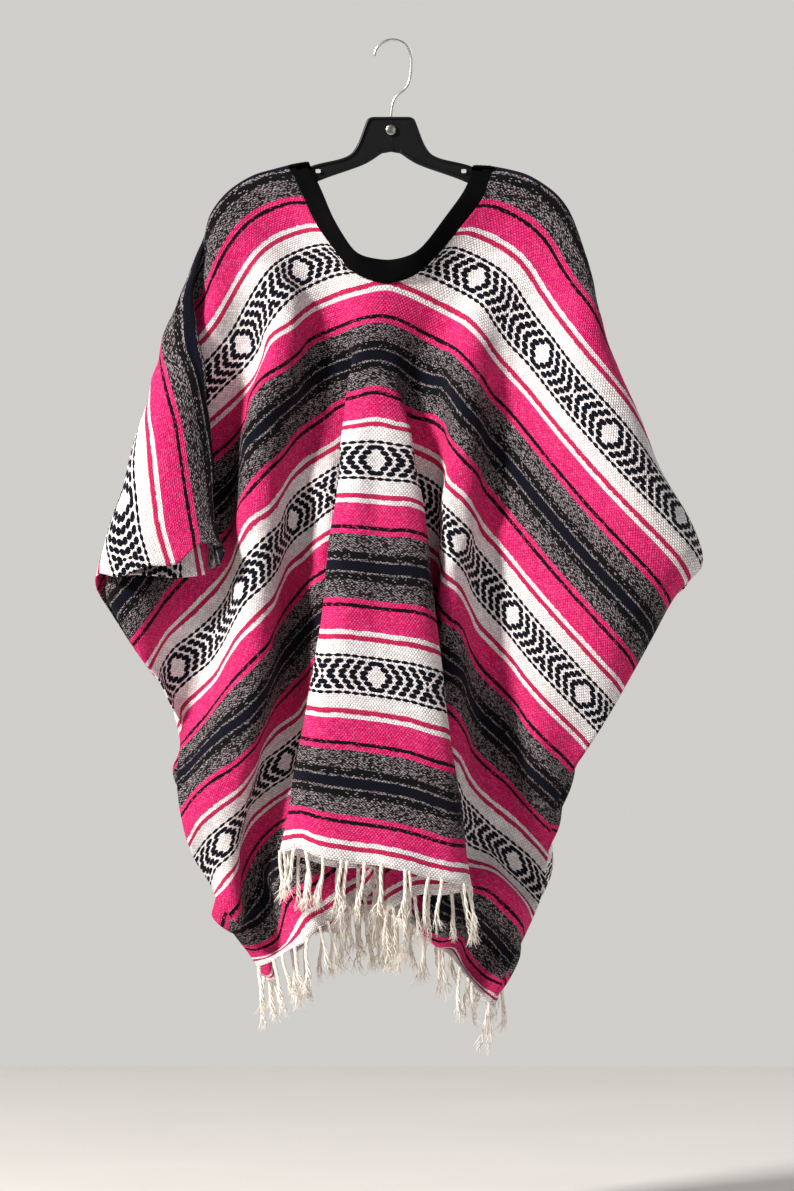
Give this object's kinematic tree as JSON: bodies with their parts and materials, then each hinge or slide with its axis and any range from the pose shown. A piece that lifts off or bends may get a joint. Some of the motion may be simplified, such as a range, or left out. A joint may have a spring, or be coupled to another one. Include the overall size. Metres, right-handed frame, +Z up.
{
  "type": "poncho on hanger",
  "caption": "Woven striped poncho with a bound neck opening and fringed hems, hanging in deep pleats from a moulded coat hanger with a steel hook.",
  "frame": {"origin": "top of the inside of the hook, where the rail carries the hanger", "axes": "+Z up, the front of the poncho faces -Y, +X to the viewer's right of the front"},
  "size_m": [0.7289, 0.2633, 1.2493],
  "materials": {
    "woven_cloth": "coarse plain weave in pink, white, charcoal and navy stripes",
    "black_binding": "matt ribbed black binding",
    "cream_yarn": "soft knotted cream yarn",
    "black_plastic": "satin black moulding",
    "polished_steel": "polished steel"
  },
  "bodies": {
    "root": {"front_panel": "woven_cloth", "back_panel": "woven_cloth", "neck_band": "black_binding", "front_fringe": "cream_yarn", "back_fringe": "cream_yarn", "hanger_body": "black_plastic", "hook": "polished_steel", "hub_rivet": "polished_steel", "arm_clip_left": "polished_steel", "arm_clip_right": "polished_steel"}
  },
  "joints": []
}
